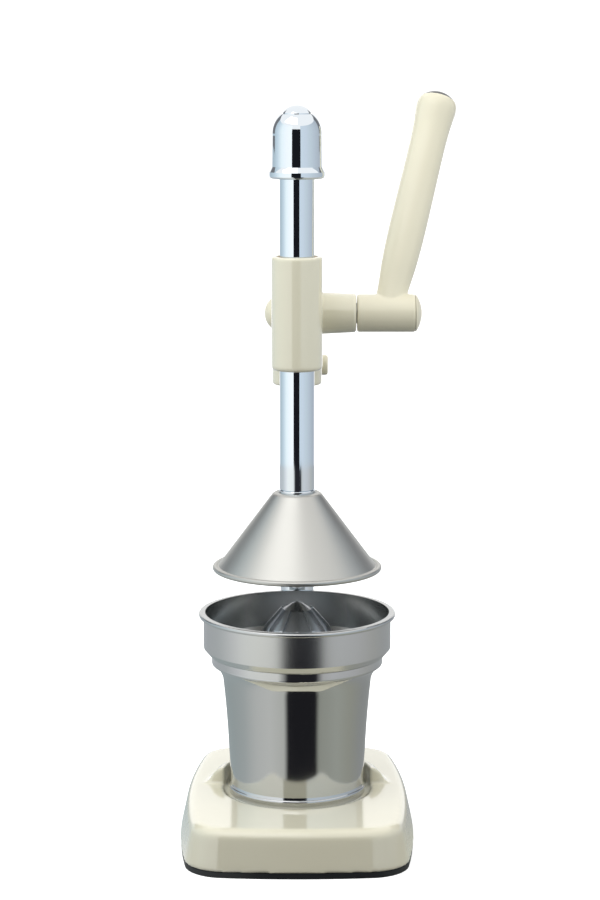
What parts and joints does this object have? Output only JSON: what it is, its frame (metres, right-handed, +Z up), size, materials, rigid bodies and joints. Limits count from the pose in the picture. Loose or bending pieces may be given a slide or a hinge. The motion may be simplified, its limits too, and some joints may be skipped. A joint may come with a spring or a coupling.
{
  "type": "citrus press juicer",
  "caption": "Upright hand citrus press: a side lever drives a rack-and-pinion ram with a press cone down onto a strainer bowl and reamer set in a steel juice cup on a cast base.",
  "frame": {"origin": "on the ram's axis, at the underside of the rubber sole", "axes": "+Z up along the ram, -Y towards the user, +X towards the lever"},
  "size_m": [0.1625, 0.1845, 0.4306],
  "materials": {
    "ivory_enamel": "gloss",
    "ivory_plastic": "gloss",
    "chrome": "polished",
    "stainless_polished": "polished",
    "stainless_brushed": "brushed",
    "steel": "machined",
    "bronze": "machined",
    "cast_aluminium": "satin",
    "rubber": "matte",
    "black_plastic": "gloss"
  },
  "bodies": {
    "frame": {"base_casting": "ivory_enamel", "base_sole": "rubber", "sole_screws": "steel", "column": "chrome", "column_washer": "steel", "column_bolt": "steel", "head_casting": "ivory_enamel", "clamp_screw": "steel", "clamp_screw_cap": "ivory_plastic", "clamp_nut": "steel", "lower_ram_bush": "bronze", "upper_ram_bush": "bronze", "left_shaft_bush": "bronze", "right_shaft_bush": "bronze", "shaft_end_cap": "ivory_plastic"},
    "lever": {"pinion_shaft": "steel", "pinion": "steel", "pinion_key": "steel", "circlip": "steel", "lever_handle": "ivory_plastic", "lever_core": "steel", "grip_plug": "black_plastic", "hub_washer": "steel", "hub_screw": "steel", "hub_cap": "ivory_plastic"},
    "ram": {"ram": "chrome", "top_cap": "chrome", "cap_nut": "chrome", "press_cone": "stainless_brushed", "cone_collar": "chrome", "backing_washer": "steel", "cone_nut": "steel"},
    "cup": {"juice_cup": "stainless_polished"},
    "bowl": {"strainer_bowl": "stainless_brushed", "bowl_wall": "stainless_brushed", "strainer_plate": "stainless_brushed", "reamer": "cast_aluminium", "reamer_screw": "steel"}
  },
  "joints": [
    {"name": "lever_turn", "type": "hinge", "parent": "frame", "child": "lever", "pos_m": [0, 0.024, 0.3039], "axis": [1, 0, 0], "range_deg": [-50, 135]},
    {"name": "ram_slide", "type": "slide", "parent": "frame", "child": "ram", "axis": [0, 0, 1], "range_m": [-0.0402, 0.0149]},
    {"name": "cup_lift", "type": "slide", "parent": "frame", "child": "cup", "axis": [0, 0, 1], "range_m": [0, 0.0025]},
    {"name": "bowl_lift", "type": "slide", "parent": "cup", "child": "bowl", "axis": [0, 0, 1], "range_m": [0, 0.004]}
  ],
  "couplings": [
    {"joint": "ram_slide", "follows": "lever_turn", "m_per_rad": -0.017}
  ]
}
